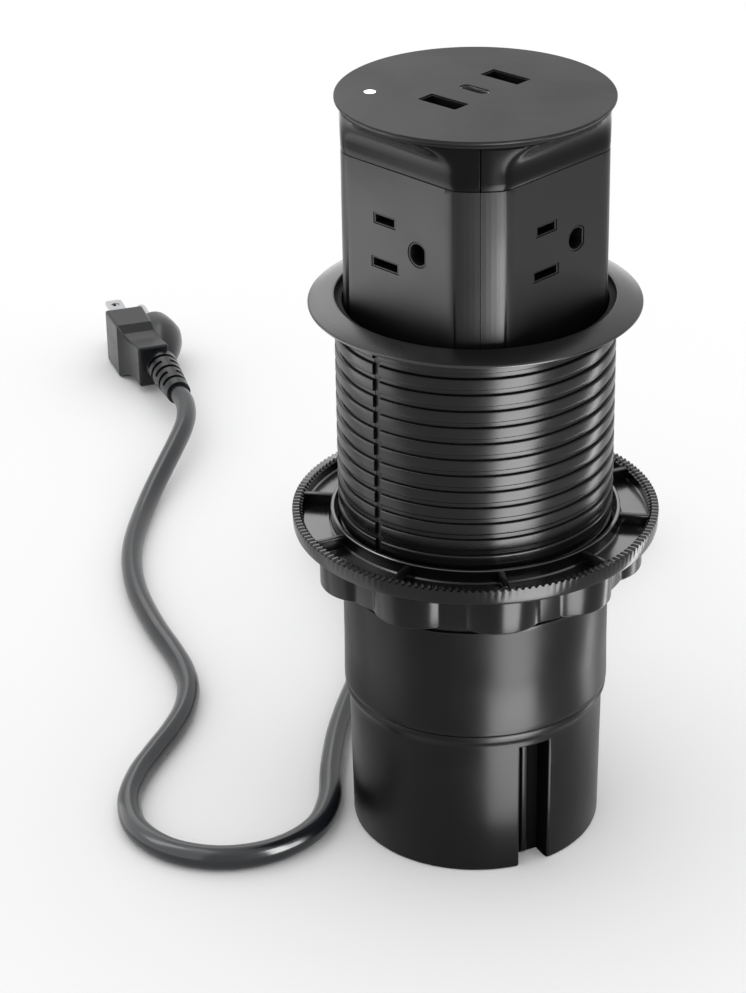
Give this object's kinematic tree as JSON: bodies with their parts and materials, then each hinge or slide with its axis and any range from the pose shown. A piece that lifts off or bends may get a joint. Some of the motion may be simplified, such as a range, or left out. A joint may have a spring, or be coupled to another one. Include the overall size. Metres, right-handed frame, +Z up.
{
  "type": "pop up desk socket",
  "caption": "Round desk socket whose tower with mains outlets and charging ports slides up out of a threaded barrel, clamped by a washer and lobed nut, with a coiled mains lead and plug.",
  "frame": {"origin": "centre of the base on the floor it stands on, under the barrel's axis", "axes": "+Z up along the barrel, -Y towards the camera of the picture, +X to its right"},
  "size_m": [0.2008, 0.3989, 0.2251],
  "materials": {
    "housing_plastic": "satin",
    "tower_plastic": "satin",
    "cap_plastic": "satin",
    "clamp_plastic": "semi gloss",
    "socket_plastic": "satin",
    "seal_rubber": "matte",
    "screw_steel": "zinc plated",
    "spring_steel": "spring steel",
    "port_steel": "nickel plated",
    "contact_brass": "bare",
    "pin_nickel": "bright nickel",
    "board_laminate": "satin",
    "light_plastic": "satin",
    "wire_plastic": "gloss",
    "curl_sheath": "satin",
    "cord_sheath": "gloss",
    "plug_plastic": "gloss",
    "lamp_lens": "clear",
    "tie_fabric": "woven"
  },
  "bodies": {
    "housing": {"base_cup": "housing_plastic", "barrel": "housing_plastic", "desk_flange": "cap_plastic", "base_screws": "screw_steel", "strain_relief": "cord_sheath", "cord_clamp": "light_plastic", "clamp_screws": "screw_steel", "terminal_block": "light_plastic", "terminal_screws": "contact_brass", "lead_tail": "cord_sheath", "lead_curl": "curl_sheath", "hold_springs": "spring_steel", "lead_start": "cord_sheath", "lead_coil": "cord_sheath", "coil_tie": "tie_fabric", "lead_run": "cord_sheath", "plug_relief": "plug_plastic", "plug_body": "plug_plastic", "plug_blades": "pin_nickel", "plug_earth_pin": "pin_nickel"},
    "tower": {"tower_foot": "socket_plastic", "foot_screws": "screw_steel", "lead_grommet": "seal_rubber", "shell_left": "tower_plastic", "shell_right": "tower_plastic", "neck_left": "tower_plastic", "neck_right": "tower_plastic", "cap_seal": "seal_rubber", "top_cap": "cap_plastic", "outlet_1": "socket_plastic", "outlet_2": "socket_plastic", "outlet_3": "socket_plastic", "outlet_4": "socket_plastic", "line_contacts": "contact_brass", "neutral_contacts": "contact_brass", "earth_contacts": "contact_brass", "feed_wires": "wire_plastic", "usb_supply": "board_laminate", "usb_board": "board_laminate", "usb_a_port_1": "port_steel", "usb_a_port_2": "port_steel", "usb_c_port": "port_steel", "port_tongues": "socket_plastic", "led_lens": "lamp_lens"},
    "washer": {"clamp_washer": "clamp_plastic"},
    "nut": {"lock_nut": "clamp_plastic"}
  },
  "joints": [
    {"name": "tower_slide", "type": "slide", "parent": "housing", "child": "tower", "axis": [0, 0, 1], "range_m": [-0.0575, 0], "deforming": ["lead_curl"]},
    {"name": "washer_slide", "type": "slide", "parent": "housing", "child": "washer", "axis": [0, 0, 1], "range_m": [-0.003, 0.058]},
    {"name": "nut_turn", "type": "hinge", "parent": "washer", "child": "nut", "pos_m": [0, 0, 0.09], "axis": [0, 0, 1], "range_deg": [-222, 4304]}
  ],
  "couplings": [
    {"joint": "washer_slide", "follows": "nut_turn", "m_per_rad": 0.0007719}
  ]
}
